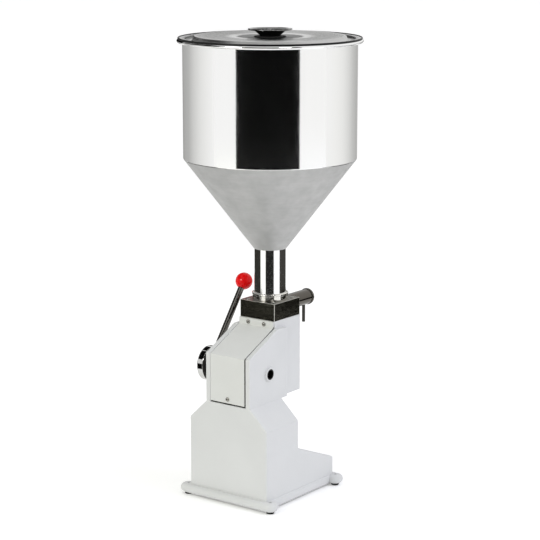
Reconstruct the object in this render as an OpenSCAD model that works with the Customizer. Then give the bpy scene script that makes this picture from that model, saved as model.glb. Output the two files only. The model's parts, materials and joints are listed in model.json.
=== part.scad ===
// Manual cream filling machine: a steel hopper over a valve block, and a hand lever that
// drives a piston up and down by a pinion and rack.
// Millimetres, +Z up. The origin is on the floor under the hopper's axis. The nozzle points
// along -Y, the rear cover faces +Y and the lever is on the +X side.

/* [Base] */
// Width of the tower, side to side
tower_w = 147.2; // [130:0.1:170]
// Front face of the tower, behind the hopper's axis
tower_front_y = 25.4; // [22:0.1:32]
// Depth of the tower, front face to rear face
tower_depth = 81.6; // [76:0.1:100]
// Height of the tower's upright sides above the flange
tower_side_h = 108.5; // [90:0.5:130]
// Height of the sloped shoulders
shoulder_h = 30; // [20:0.5:40]
// Length of the toe in front of the tower
toe_len = 92.4; // [70:0.1:110]
// Height of the toe above the flange where it meets the tower
toe_back_h = 64; // [50:0.5:80]
// Height of the toe's nose above the flange
toe_front_h = 28; // [15:0.5:45]
// Wall of the base casting
base_wall = 5; // [3.5:0.1:7]
// Thickness of the flange and its lugs
flange_t = 13.7; // [8:0.1:18]
// How far the flange stands out at the sides
flange_side = 2.9; // [1:0.1:8]
// How far the flange stands out at the front and rear
flange_end = 10.5; // [6:0.1:16]
// Diameter of a lug
lug_d = 25; // [20:0.5:32]
// How far a lug's centre lies outside the tower's side
lug_out = 5.4; // [2:0.1:9]
// Diameter of the hole in a lug
lug_hole_d = 5.2; // [4:0.1:7]
// Diameter of a rubber foot
foot_d = 13; // [11:0.1:18]
// Height of a rubber foot
foot_h = 3.3; // [2.6:0.1:8]

/* [Housing] */
// Width and depth of the column under the block
col_w = 67; // [66:0.1:72]
// Height of the column above the base
col_h = 119.5; // [117:0.5:135]
// Wall of the column
col_wall = 5.5; // [4.5:0.1:5.9]
// Width of the gear housing over its two cheeks
housing_w = 83.6; // [80:0.1:96]
// Thickness of the housing's floor
floor_t = 5; // [4:0.1:7]
// How far the cheeks lap over the column's sides
cheek_lap = 22.5; // [15:0.1:40]
// Height of the rear cover's upright part
cover_rise = 75.5; // [65:0.5:82]
// Drop from the column's top to the cheeks' top edge
cheek_drop = 8.5; // [5:0.1:10]
// Drop from the column's top to the foot of the cover's top flange
cover_drop = 11.5; // [11:0.1:14]
// Thickness of the rear cover's sheet
cover_t = 2; // [1.2:0.1:3]
// Gap along the rear cover's edges
cover_gap = 0.8; // [0.3:0.05:1]

/* [Shaft and lever] */
// Distance of the shaft behind the hopper's axis
shaft_back = 59; // [58:0.1:62]
// Height of the shaft above the base
shaft_up = 44.5; // [42:0.1:46]
// Diameter of the cross shaft
shaft_d = 13; // [11:0.1:13.4]
// Outer diameter of the shaft's bushes
bush_d = 16.6; // [16.4:0.1:18.5]
// Outer diameter of the raised ring round a bush
boss_d = 21; // [20:0.1:26]
// How far that ring stands out
boss_h = 3.5; // [2:0.1:5]
// Diameter of the lever's hub
hub_d = 55; // [48:0.5:62]
// Thickness of the hub's disc
hub_t = 15; // [13:0.1:18]
// Length of the hub's neck
hub_neck_l = 17.2; // [12:0.1:22]
// Diameter of the lever's rod
rod_d = 10; // [9.2:0.1:11]
// Length of the lever, from the shaft's axis to the ball's centre
lever_l = 143; // [120:0.5:160]
// Diameter of the ball
ball_d = 27; // [22:0.1:32]
// Lean of the lever towards the front at rest, in degrees
lever_lean = 36.3; // [30:0.1:40]
// How far the lever swings back from rest, in degrees
lever_back = 26; // [20:1:28]
// How far the lever swings forward from rest, in degrees
lever_fwd = 64; // [55:1:66]

/* [Pump] */
// Module of the pinion and rack
gear_module = 1.75; // [1.7:0.01:1.8]
// Width of the pinion and rack
gear_w = 14; // [12:0.1:16]
// Bore of the cylinder
bore_d = 44; // [40:0.1:45]
// Wall of the cylinder sleeve
sleeve_wall = 3; // [2:0.1:3.2]
// Height of the piston
piston_h = 16; // [14:0.1:18]
// Diameter of the piston rod
piston_rod_d = 14; // [12:0.1:18]
// Thickness of the crosshead
crosshead_t = 10; // [8:0.1:12]
// Diameter of the dose screw
dose_d = 12; // [11:0.1:14]
// Diameter of the dose knob
dose_knob_d = 28; // [26:0.5:34]
// Height of the dose knob's grip
dose_knob_h = 16; // [12:0.1:20]
// How far the dose screw can be raised
dose_travel = 22; // [16:0.5:24]

/* [Valve block] */
// Width and depth of the valve block
block_w = 65.5; // [65:0.1:66]
// Height of the valve block
block_h = 27; // [26:0.1:32]
// Height of the outlet's axis above the block's underside
outlet_up = 12.4; // [12.1:0.1:13.5]
// Outer diameter of the outlet tube
outlet_d = 24; // [20:0.1:24.2]
// Bore of the outlet tube
outlet_bore = 16; // [15.2:0.1:17]
// Length of the outlet tube in front of the block
outlet_l = 61.5; // [50:0.5:75]
// Outer diameter of the outlet's end cap
outcap_d = 26; // [24.6:0.1:30]
// Thickness of the outlet's end cap
outcap_t = 5; // [3:0.1:8]
// Outer diameter of the nozzle
nozzle_d = 4.2; // [3.6:0.1:7]
// Bore of the nozzle
nozzle_bore = 2.8; // [1.6:0.1:3.2]
// How far the nozzle hangs below the outlet tube
nozzle_l = 27.4; // [15:0.1:40]
// How far the nozzle stands back from the outlet tube's end
nozzle_in = 6; // [5.8:0.1:12]

/* [Hopper] */
// Outer diameter of the hopper's barrel
hopper_d = 263.2; // [240:0.1:290]
// Thickness of the hopper's sheet
hopper_wall = 1.2; // [0.8:0.1:2]
// Height of the barrel, seam to rim
barrel_h = 177; // [150:0.5:200]
// Height of the cone
cone_h = 139; // [120:0.5:160]
// Outer diameter of the neck tube
neck_d = 47.2; // [44:0.1:48]
// Wall of the neck tube
neck_wall = 1.6; // [1.2:0.1:2.4]
// Height from the block to the foot of the cone
neck_h = 79; // [60:0.5:100]
// Outer diameter of the neck's lock ring
lockring_d = 54; // [53.5:0.1:57]
// Height of the neck's lock ring
lockring_h = 11; // [8:0.1:16]
// How far the rim stands out from the barrel
rim_out = 8.4; // [6.5:0.1:12]
// Thickness of the rolled bead round the rim
bead_d = 5.4; // [4:0.1:6]

/* [Lid] */
// How far the lid's edge lies inside the hopper's rim
lid_in = 1.5; // [0.5:0.1:4]
// Thickness of the lid's sheet
lid_t = 1; // [0.8:0.1:1.6]
// Depth of the channel that keeps the lid on the hopper
lid_channel = 4; // [3:0.1:8]
// Height of the lid's raised ring over its edge
lid_rise = 2.4; // [1.6:0.1:6]
// Diameter of the dish on top of the lid's knob
lid_knob_d = 67.5; // [56:0.5:76]
// Height of the lid's knob above its washer
lid_knob_h = 10.8; // [9:0.1:20]

/* [Hidden] */
$fn = 96;
// Overrun of every cut, and the gaps that several pieces share
over = 1;
fit = 0.05;
slip = 0.3;
seat_gap = 0.1;

// Fasteners: shank, head and head height
m4_shank = 4;
m4_head = 6.4;
m4_head_h = 2.4;
m6_shank = 6;
m6_head = 10;
m6_head_h = 4;
m3_shank = 3;
m3_head = 5.4;
m3_head_h = 2;
slot_w = 0.9;
hex_af = 16;
hex_h = 8;

// Heights
flange_z = foot_h;
deck_z = flange_z + flange_t;
side_z = deck_z + tower_side_h;
base_z = side_z + shoulder_h;
floor_z = base_z + floor_t;
block_z = base_z + col_h;
block_top = block_z + block_h;
cone_z = block_top + neck_h;
seam_z = cone_z + cone_h;
rim_z = seam_z + barrel_h;
outlet_z = block_z + outlet_up;
bend_z = base_z + cover_rise;
cheek_z = block_z - cheek_drop;
slope_z = block_z - cover_drop;
shaft_z = base_z + shaft_up;

// Plan places
rear_y = tower_front_y + tower_depth;
toe_y = tower_front_y - toe_len;
flange_x = tower_w / 2 + flange_side;
flange_front = toe_y - flange_end;
flange_rear = rear_y + flange_end;
lug_x = tower_w / 2 + lug_out;
lug_ys = [flange_front + lug_d / 2, flange_rear - lug_d / 2];
col_half = col_w / 2;
col_bore = col_w - 2 * col_wall;
block_half = block_w / 2;
cheek_front = col_half - cheek_lap;

// Base casting
bend_share = 0.414;
toe_slope = atan2(toe_back_h - toe_front_h, toe_len);
bolt_x = 22;
bolt_front_in = 20;
bolt_rear_in = 16;
bolt_ys = [tower_front_y + bolt_front_in, rear_y - bolt_rear_in];
foot_pocket_d = 8;
foot_pocket_h = 2;
foot_taper = 0.6;
foot_screw_up = 9;

// Gear housing
cover_tab_w = 26;
cover_tab_h = 17;
cover_tab_t = 6;
cover_screw_x = 15;
cover_screw_drop = 5.5;
cover_screw_up = 8.8;
cover_foot_gap = 2.5;
cheek_top_l = 26;
cheek_top_fall = 2;
inner_boss_d = 27;
inner_boss_l = 6;
pillar_w = 9.3;
pillar_h = 13;
lintel_h = 17;

// Shaft, hub and lever
shaft_tip_in = 9.1;
bush_in = 0.5;
boss_x = housing_w / 2 + boss_h;
bush_x = col_half - inner_boss_l;
hub_gap = 0.5;
hub_x = boss_x + hub_gap;
hub_disc_x = hub_x + hub_neck_l;
hub_end_x = hub_disc_x + hub_t;
hub_neck_d = 36;
hub_cham = 2.5;
hub_skin = 4;
hub_dish_d = 34;
hub_dish_h = 1;
rod_x = hub_disc_x + hub_t / 2;
rod_stud_d = rod_d - 2;
rod_stud_in = 11;
ball_stud_d = 6;
ball_stud_l = 10;
ball_flat = sqrt(pow(ball_d / 2, 2) - pow(rod_d / 2 + fit, 2));
spacer_d = 19;
spacer_gap = 0.1;
key_w = 4;
key_l = 12;
grub_d = 5;
grub_x = hub_x + hub_neck_l / 2;

// Pinion and rack
pinion_teeth = 24;
pressure_deg = 20;
backlash = 0.15;
pitch_r = pinion_teeth * gear_module / 2;
tip_r = pitch_r + gear_module;
root_r = pitch_r - 1.25 * gear_module;
base_r = pitch_r * cos(pressure_deg);
tooth_pitch = PI * gear_module;
stroke = pitch_r * (lever_back + lever_fwd) * PI / 180;
drop = pitch_r * lever_back * PI / 180;
rack_line_y = shaft_back - pitch_r;
rack_root_y = rack_line_y - 1.25 * gear_module;
rack_body_t = 7.2;
rack_back_y = rack_root_y - rack_body_t;
rack_margin = 5;

// Cylinder, piston, rod and crosshead
sleeve_seat = 5;
gasket_t = 1;
sleeve_skirt = 4;
piston_gap = 2;
sleeve_top = block_z + sleeve_seat - gasket_t;
piston_top = sleeve_top - piston_gap - drop;
piston_z = piston_top - piston_h;
sleeve_z = piston_z + drop - stroke - sleeve_skirt;
sleeve_r = bore_d / 2 + sleeve_wall;
piston_r = bore_d / 2 - fit;
ring_d = 3.2;
ring_up = 4;
crosshead_top = sleeve_z - piston_gap - drop;
crosshead_z = crosshead_top - crosshead_t;
stud_d = 10;
spigot_l = 10;
stud_out = 1;
nut_z = crosshead_z - hex_h;
rack_z = shaft_z - rack_margin - drop;
rack_top = shaft_z + stroke + rack_margin - drop;
rack_screw_x = 4;
rack_screw_l = 14;

// Dose stop
dose_pitch = 3;
dose_flat_w = 9;
dose_clear = 0.7;
dose_top = nut_z - stud_out - (stroke - drop) - dose_clear;
knob_flange_d = 22;
knob_flange_t = 2.9;
knob_neck_d = 16;
retainer_d = 40;
retainer_t = 7;
retainer_lip = 3.7;
retainer_screws = 3;
retainer_screw_r = 15.7;
knob_drop = 2.4;
dose_grip_z = base_z - retainer_t - knob_drop - dose_knob_h;
dose_tail = 14;
flutes = 18;
flute_d = 3;
flute_in_share = 0.25;

// Valve block
chamber_d = 34;
seat_d = neck_d + 2 * fit;
seat_depth = 8;
seat_t = 3;
seat_port_d = 24;
seat_arm_w = 4;
seat_hub_d = 12;
seat_hub_h = 10;
stem_d = 6;
valve_d = 30;
valve_t = 3.5;
valve_travel = 4;
valve_stem_l = 26;
clip_d = 13;
clip_t = 2;
clip_down = 2.5;
spring_gap = 0.2;
block_screw_xy = 24;
block_cham = 0.6;
passage_d = 10;
spigot_d = 18;
outlet_seat = 7;
out_ball_d = 14;
out_travel = 5;
outcap_plug_l = 3.4;
nozzle_relief = 1;
seal_t = 1;
inlet_wire = 1;
inlet_turns = 4.5;
inlet_coil_r = 4.6;
outlet_wire = 1.4;
outlet_turns = 11;
outlet_coil_r = 6.4;

// Hopper, lid and knob
cone_run = hopper_d / 2 - hopper_wall - neck_d / 2 - fit;
cone_slant = sqrt(cone_run * cone_run + cone_h * cone_h);
cone_wall_x = hopper_wall * cone_slant / cone_h;
neck_lap = 2;
lockring_round = 2.2;
rim_r = hopper_d / 2 + rim_out;
bead_r = rim_r - bead_d / 2;
lid_z = rim_z + bead_d / 2 + seat_gap;
lid_hem_t = 2.4;
lid_hem_w = 3;
lid_fit = 1.4;
lid_channel_w = 13;
lid_ridge_share = 0.63;
lid_step_w = 3;
lid_centre_z = lid_z + lid_t + lid_rise - lid_t;
washer_d = 48;
washer_t = 1.4;
waist_bottom_d = 31;
waist_top_d = 50;
dish_t = 1.7;
dish_depth = 1;
dish_rim = 2.5;
knob_z = lid_centre_z + washer_t;
knob_screw_l = 9;

// Colours as the object shows them
paint_c = "#d8d9d8";
steel_c = "#b9babb";
satin_c = "#a9abac";
dark_c = "#4a4a48";
brass_c = "#b08d4a";
red_c = "#d01418";
rubber_c = "#1c1c1c";

// Shapes that repeat
module box_at(a, b) translate(a) cube(b - a);
module rod_z(d, z0, z1, x = 0, y = 0) translate([x, y, z0]) cylinder(d = d, h = z1 - z0);
module rod_x(d, x0, x1, y, z) translate([x0, y, z]) rotate([0, 90, 0]) cylinder(d = d, h = x1 - x0);
module rod_y(d, y0, y1, x, z) translate([x, y1, z]) rotate([90, 0, 0]) cylinder(d = d, h = y1 - y0);
module ring_z(d, bore, z0, z1) difference() {
    rod_z(d, z0, z1);
    rod_z(bore, z0 - over, z1 + over);
}
// A profile drawn as [y, z] and drawn out along X between x0 and x1
module side_plate(x0, x1, points)
    translate([x0, 0, 0]) rotate([90, 0, 90]) linear_extrude(height = x1 - x0) polygon(points);
module four(xs, ys) for (x = xs, y = ys) translate([x, y, 0]) children();

// A screw with a low domed head on the plane z = 0, its shank pointing down
module pan_screw(shank, head, head_h, len) difference() {
    union() {
        rotate_extrude() polygon(concat([[0, 0], [head / 2, 0]],
            [for (a = [15 : 15 : 75]) [head / 2 * cos(a), head_h * (0.35 + 0.65 * sin(a))]], [[0, head_h]]));
        rod_z(shank, -len, over / 2);
    }
    for (a = [0, 90]) rotate([0, 0, a])
        box_at([-head / 4, -slot_w / 2, head_h / 2], [head / 4, slot_w / 2, head_h + over]);
}

// One closed tube along a helix about Z, its first ring at z = 0
module coil(mean_r, wire, turns, height) {
    sides = 6;
    rings = ceil(turns * 8);
    lift = (height - wire) / rings;
    function ring_point(i, j) = let (turn = 360 * turns * i / rings, r = mean_r + wire / 2 * cos(360 * j / sides))
        [r * cos(turn), r * sin(turn), wire / 2 + lift * i + wire / 2 * sin(360 * j / sides)];
    points = [for (i = [0 : rings], j = [0 : sides - 1]) ring_point(i, j)];
    function at(i, j) = i * sides + j % sides;
    walls = [for (i = [0 : rings - 1], j = [0 : sides - 1], k = [0, 1])
        k == 0 ? [at(i, j), at(i, j + 1), at(i + 1, j)] : [at(i, j + 1), at(i + 1, j + 1), at(i + 1, j)]];
    ends = [for (j = [1 : sides - 2], k = [0, 1])
        k == 0 ? [at(0, 0), at(0, j + 1), at(0, j)] : [at(rings, 0), at(rings, j), at(rings, j + 1)]];
    polyhedron(points, concat(walls, ends));
}

// Base
module flange_outline() {
    translate([-flange_x, flange_front]) square([2 * flange_x, flange_rear - flange_front]);
    for (x = [-lug_x, lug_x], y = lug_ys) translate([x, y]) circle(d = lug_d);
}
// Front view of the tower, drawn in by inset, from z0 upwards
module tower_outline(inset, z0) {
    half = tower_w / 2 - inset;
    top_half = housing_w / 2 - bend_share * inset;
    knee = side_z - bend_share * inset;
    polygon([[-half, z0], [half, z0], [half, knee], [top_half, base_z - inset], [-top_half, base_z - inset],
        [-half, knee]]);
}
module tower_solid(inset, z0, y0, y1)
    translate([0, y1, 0]) rotate([90, 0, 0]) linear_extrude(height = y1 - y0) tower_outline(inset, z0);
module base_casting() color(paint_c) {
    sunk = base_wall / cos(toe_slope);
    back_z = deck_z + toe_back_h;
    front_z = deck_z + toe_front_h;
    reach = tower_front_y + base_wall;
    lift = (back_z - front_z) / toe_len;
    difference() {
        union() {
            translate([0, 0, flange_z]) linear_extrude(height = flange_t) flange_outline();
            tower_solid(0, flange_z, tower_front_y, rear_y);
            side_plate(-tower_w / 2, tower_w / 2, [[toe_y, flange_z], [reach, flange_z],
                [reach, back_z], [tower_front_y, back_z], [toe_y, front_z]]);
        }
        tower_solid(base_wall, flange_z - over, reach, rear_y - base_wall);
        side_plate(-tower_w / 2 + base_wall, tower_w / 2 - base_wall, [[toe_y + base_wall, flange_z - over],
            [reach + over, flange_z - over], [reach + over, back_z - sunk],
            [tower_front_y, back_z - sunk], [toe_y + base_wall, front_z - sunk + base_wall * lift]]);
        four([-lug_x, lug_x], lug_ys) rod_z(lug_hole_d, flange_z - over, deck_z + over);
        four([-bolt_x, bolt_x], bolt_ys) rod_z(m6_shank + 2 * fit, base_z - base_wall - over, base_z + over);
    }
}
module rubber_feet() color(rubber_c) four([-lug_x, lug_x], lug_ys) rotate_extrude() polygon([
    [foot_pocket_d / 2, 0], [foot_d / 2 - foot_taper, 0], [foot_d / 2, foot_h],
    [m4_shank / 2 + fit, foot_h], [m4_shank / 2 + fit, foot_pocket_h], [foot_pocket_d / 2, foot_pocket_h]]);
module foot_screws() color(dark_c) four([-lug_x, lug_x], lug_ys)
    translate([0, 0, foot_pocket_h]) rotate([180, 0, 0])
        pan_screw(m4_shank, m4_head, foot_pocket_h * 0.7, foot_screw_up);

// Gear housing: the square column with two cheeks that hold the cross shaft
function cheek_points() = [[cheek_front, base_z], [rear_y, base_z], [rear_y, bend_z],
    [cheek_front + cheek_top_l, cheek_z], [cheek_front, cheek_z - cheek_top_fall]];
module gear_housing() color(paint_c) {
    bore = col_bore / 2;
    difference() {
        union() {
            difference() {
                box_at([-col_half, -col_half, base_z], [col_half, col_half, block_z]);
                box_at([-bore, -bore, floor_z], [bore, bore, block_z + over]);
                box_at([-bore, bore - over, floor_z], [bore, col_half + over, block_z - lintel_h]);
            }
            for (sx = [-1, 1], sy = [-1, 1]) scale([sx, sy, 1])
                box_at([bore - pillar_w, bore - pillar_w, block_z - pillar_h], [bore + over, bore + over, block_z]);
            side_plate(-housing_w / 2, -col_half, cheek_points());
            side_plate(col_half, housing_w / 2, cheek_points());
            box_at([-col_half, col_half - over, base_z], [col_half, rear_y - cover_t - cover_gap, floor_z]);
            box_at([-cover_tab_w / 2, rear_y - cover_t - seat_gap - cover_tab_t, base_z],
                [cover_tab_w / 2, rear_y - cover_t - seat_gap, base_z + cover_tab_h]);
            rod_x(boss_d, -boss_x, -col_half, shaft_back, shaft_z);
            rod_x(boss_d, col_half, boss_x, shaft_back, shaft_z);
            rod_x(inner_boss_d, -col_half, -bush_x, shaft_back, shaft_z);
            rod_x(inner_boss_d, bush_x, col_half, shaft_back, shaft_z);
        }
        rod_x(bush_d, -boss_x - over, -bush_x + over, shaft_back, shaft_z);
        rod_x(bush_d, bush_x - over, boss_x + over, shaft_back, shaft_z);
        four([-bolt_x, bolt_x], bolt_ys) rod_z(m6_shank + 2 * fit, base_z - over, floor_z + over);
        four([-block_screw_xy, block_screw_xy], [-block_screw_xy, block_screw_xy])
            rod_z(m4_shank + 2 * fit, block_z - pillar_h - over, block_z + over);
        for (x = [-cover_screw_x, cover_screw_x])
            rod_y(m4_shank + 2 * fit, bore - over, col_half + over, x, block_z - cover_screw_drop);
        rod_y(m4_shank + 2 * fit, rear_y - cover_t - cover_tab_t - over, rear_y, 0, base_z + cover_screw_up);
        intersection() {
            rod_z(dose_d + 4 * fit, base_z - over, floor_z + over);
            translate([0, 0, floor_z]) cube([2 * dose_d, dose_flat_w + 4 * fit, 4 * floor_t], center = true);
        }
        for (i = [0 : retainer_screws - 1]) rotate([0, 0, 360 * i / retainer_screws])
            rod_z(m3_shank + 2 * fit, base_z - over, floor_z + over, retainer_screw_r);
    }
}
module housing_bolts() color(satin_c) four([-bolt_x, bolt_x], bolt_ys) {
    rod_z(m6_head, base_z - base_wall - m6_head_h, base_z - base_wall);
    rod_z(m6_shank, base_z - base_wall - m6_head_h, floor_z);
}

// Rear cover: one bent sheet, upright, sloped, and upright again at its screwed top flange
module rear_cover() color(paint_c) {
    half = col_half - cover_gap;
    foot = base_z + cover_foot_gap;
    top = block_z - seat_gap;
    inner = col_half + seat_gap;
    outer = inner + cover_t;
    difference() {
        side_plate(-half, half, [[rear_y - cover_t, foot], [rear_y, foot], [rear_y, bend_z], [outer, slope_z],
            [outer, top], [inner, top], [inner, slope_z - cover_t / 2], [rear_y - cover_t, bend_z - cover_t / 2]]);
        for (x = [-cover_screw_x, cover_screw_x])
            rod_y(m4_shank + 2 * fit, inner - over, outer + over, x, block_z - cover_screw_drop);
        rod_y(m4_shank + 2 * fit, rear_y - cover_t - over, rear_y + over, 0, base_z + cover_screw_up);
    }
}
module cover_screws() color(dark_c) {
    for (x = [-cover_screw_x, cover_screw_x])
        translate([x, col_half + seat_gap + cover_t, block_z - cover_screw_drop]) rotate([-90, 0, 0])
            pan_screw(m4_shank, m4_head, m4_head_h, cover_t + col_wall);
    translate([0, rear_y, base_z + cover_screw_up]) rotate([-90, 0, 0])
        pan_screw(m4_shank, m4_head, m4_head_h, cover_t + cover_tab_t);
}

// Cross shaft, its bushes and what turns with it
module bush(x0, x1) color(brass_c) difference() {
    rod_x(bush_d - fit, x0, x1, shaft_back, shaft_z);
    rod_x(shaft_d + 2 * fit, x0 - over, x1 + over, shaft_back, shaft_z);
}
module shaft_bush_left() bush(-boss_x + bush_in, -bush_x);
module shaft_bush_right() bush(bush_x, boss_x);
module key_at(grow) translate([0, shaft_back, shaft_z + shaft_d / 2])
    cube([key_l + 2 * grow, key_w + 2 * grow, key_w + 2 * grow], center = true);
module cross_shaft() color(satin_c) difference() {
    rod_x(shaft_d, -boss_x + shaft_tip_in, hub_end_x - hub_skin, shaft_back, shaft_z);
    key_at(fit);
}
module shaft_spacers() color(satin_c) for (s = [-1, 1]) {
    near = gear_w / 2 + spacer_gap;
    far = bush_x - spacer_gap;
    difference() {
        rod_x(spacer_d, s > 0 ? near : -far, s > 0 ? far : -near, shaft_back, shaft_z);
        rod_x(shaft_d + 2 * fit, -far - over, far + over, shaft_back, shaft_z);
    }
}
// Involute of the base circle after the given roll, and the roll that reaches a radius
function involute(roll) = base_r * [cos(roll) + roll * PI / 180 * sin(roll), sin(roll) - roll * PI / 180 * cos(roll)];
function roll_at(r) = sqrt(max(0, pow(r / base_r, 2) - 1)) * 180 / PI;
function spun(p, a) = [p[0] * cos(a) - p[1] * sin(a), p[0] * sin(a) + p[1] * cos(a)];
flank_steps = 4;
pitch_roll = roll_at(pitch_r);
flank_lag = pitch_roll - atan(pitch_roll * PI / 180);
half_tooth = 90 / pinion_teeth - backlash / 2 / pitch_r * 180 / PI + flank_lag;
function flank() = [for (i = [0 : flank_steps])
    spun(involute(roll_at(max(base_r, root_r)) + (roll_at(tip_r) - roll_at(max(base_r, root_r))) * i / flank_steps),
        -half_tooth)];
function tooth(a) = let (f = flank(), foot = spun([root_r, 0], -half_tooth)) concat(
    [spun(foot, a)],
    [for (p = f) spun(p, a)],
    [for (i = [len(f) - 1 : -1 : 0]) spun([f[i][0], -f[i][1]], a)],
    [spun([foot[0], -foot[1]], a)]);
module pinion() color(satin_c) difference() {
    translate([-gear_w / 2, shaft_back, shaft_z]) rotate([90, 0, 90]) linear_extrude(height = gear_w)
        polygon([for (i = [0 : pinion_teeth - 1]) each tooth(180 + i * 360 / pinion_teeth)]);
    rod_x(shaft_d + fit, -gear_w, gear_w, shaft_back, shaft_z);
    key_at(fit);
}
module pinion_key() color(dark_c) key_at(0);
// Lever: hub, rod and ball. along_rod() puts +Z along the rod, with the shaft's axis at its foot
module along_rod() translate([rod_x, shaft_back, shaft_z]) rotate([lever_lean, 0, 0]) children();
module lever_hub() color(steel_c) difference() {
    translate([0, shaft_back, shaft_z]) rotate([90, 0, 90]) rotate_extrude() polygon([
        [0, hub_x], [hub_neck_d / 2, hub_x], [hub_neck_d / 2, hub_disc_x], [hub_d / 2 - hub_cham, hub_disc_x],
        [hub_d / 2, hub_disc_x + hub_cham], [hub_d / 2, hub_end_x - hub_cham], [hub_d / 2 - hub_cham, hub_end_x],
        [hub_dish_d / 2, hub_end_x], [hub_dish_d / 2 - hub_dish_h, hub_end_x - hub_dish_h],
        [0, hub_end_x - hub_dish_h]]);
    rod_x(shaft_d + fit, hub_x - over, hub_end_x - hub_skin + seat_gap, shaft_back, shaft_z);
    along_rod() rod_z(rod_stud_d + 2 * fit, rod_stud_in - seat_gap, hub_d);
    translate([grub_x, shaft_back, shaft_z]) rod_z(grub_d + 2 * fit, 0, hub_neck_d);
}
module hub_grub_screw() color(dark_c) translate([grub_x, shaft_back, shaft_z]) difference() {
    rod_z(grub_d, shaft_d / 2 + seat_gap, hub_neck_d / 2);
    rod_z(grub_d / 2, hub_neck_d / 2 - grub_d / 2, hub_neck_d);
}
module lever_rod() color(dark_c) along_rod() {
    rod_z(rod_stud_d, rod_stud_in, hub_d / 2 + seat_gap);
    rod_z(rod_d, hub_d / 2 + seat_gap, lever_l - ball_flat - seat_gap);
    rod_z(ball_stud_d, hub_d / 2, lever_l - ball_flat + ball_stud_l);
}
module lever_ball() color(red_c) along_rod() difference() {
    translate([0, 0, lever_l]) sphere(d = ball_d);
    box_at([-ball_d, -ball_d, lever_l - ball_d], [ball_d, ball_d, lever_l - ball_flat]);
    rod_z(ball_stud_d + 2 * fit, lever_l - ball_d, lever_l - ball_flat + ball_stud_l + seat_gap);
}

// Rack, with straight flanks and a tooth gap facing the shaft
rack_first = floor((rack_z - shaft_z) / tooth_pitch);
rack_last = ceil((rack_top - shaft_z) / tooth_pitch);
function rack_tooth(i) = let (z = shaft_z + (i + 0.5) * tooth_pitch, half = tooth_pitch / 4 - backlash / 2,
    grow = 1.25 * gear_module * tan(pressure_deg), shrink = gear_module * tan(pressure_deg))
    [[rack_root_y, z - half - grow], [rack_line_y + gear_module, z - half + shrink],
     [rack_line_y + gear_module, z + half - shrink], [rack_root_y, z + half + grow]];
module rack() color(satin_c) difference() {
    intersection() {
        side_plate(-gear_w / 2, gear_w / 2, concat([[rack_back_y, rack_z - tooth_pitch * 2]],
            [for (i = [rack_first - 1 : rack_last]) each rack_tooth(i)], [[rack_back_y, rack_top + tooth_pitch * 2]]));
        box_at([-gear_w, rack_back_y, rack_z], [gear_w, rack_line_y + pitch_r, rack_top]);
    }
    for (x = [-rack_screw_x, rack_screw_x])
        rod_y(m3_shank + 2 * fit, rack_back_y - over, rack_root_y - m3_head_h, x, crosshead_z + crosshead_t / 2);
    for (x = [-rack_screw_x, rack_screw_x])
        rod_y(m3_head + 2 * fit, rack_root_y - m3_head_h - over, rack_line_y + pitch_r, x, crosshead_z + crosshead_t / 2);
}
module rack_screws() color(dark_c) for (x = [-rack_screw_x, rack_screw_x])
    translate([x, 0, crosshead_z + crosshead_t / 2]) {
        rod_y(m3_head, rack_root_y - m3_head_h - over + seat_gap, rack_root_y - m3_head_h / 2, 0, 0);
        rod_y(m3_shank, rack_back_y - rack_screw_l, rack_root_y - m3_head_h - seat_gap, 0, 0);
    }
module crosshead() color(brass_c) {
    half = col_bore / 2 - slip;
    difference() {
        box_at([-half, -half, crosshead_z], [half, rack_back_y, crosshead_top]);
        rod_z(stud_d + 2 * fit, crosshead_z - over, crosshead_top + over);
        for (x = [-rack_screw_x, rack_screw_x])
            rod_y(m3_shank + 2 * fit, rack_back_y - rack_screw_l - seat_gap, rack_back_y + over, x,
                crosshead_z + crosshead_t / 2);
    }
}

// Piston and its rod
module piston_rod() color(satin_c) {
    rod_z(piston_rod_d, crosshead_top, piston_z);
    rod_z(stud_d, nut_z - stud_out, piston_z + spigot_l);
}
module piston_rod_nut() color(satin_c) difference() {
    translate([0, 0, nut_z]) cylinder(d = hex_af / cos(30), h = hex_h, $fn = 6);
    rod_z(stud_d + 2 * fit, nut_z - over, crosshead_z + over);
}
ring_r = piston_r - ring_d / 2;
ring_zs = [piston_z + ring_up, piston_top - ring_up];
module piston() color(steel_c) difference() {
    rod_z(2 * piston_r, piston_z, piston_top);
    rod_z(stud_d + 2 * fit, piston_z - over, piston_z + spigot_l + seat_gap);
    for (z = ring_zs) difference() {
        rod_z(bore_d + over, z - ring_d / 2 - seat_gap, z + ring_d / 2 + seat_gap);
        rod_z(2 * (ring_r - ring_d / 2 - fit), z - ring_d, z + ring_d);
    }
}
module piston_seals() color(rubber_c) for (z = ring_zs)
    translate([0, 0, z]) rotate_extrude() translate([ring_r, 0]) circle(d = ring_d);
module cylinder_sleeve() color(steel_c) ring_z(2 * sleeve_r, bore_d, sleeve_z, sleeve_top);
module sleeve_gasket() color(rubber_c) ring_z(2 * sleeve_r - 2 * seat_gap, bore_d, sleeve_top, sleeve_top + gasket_t);

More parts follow.
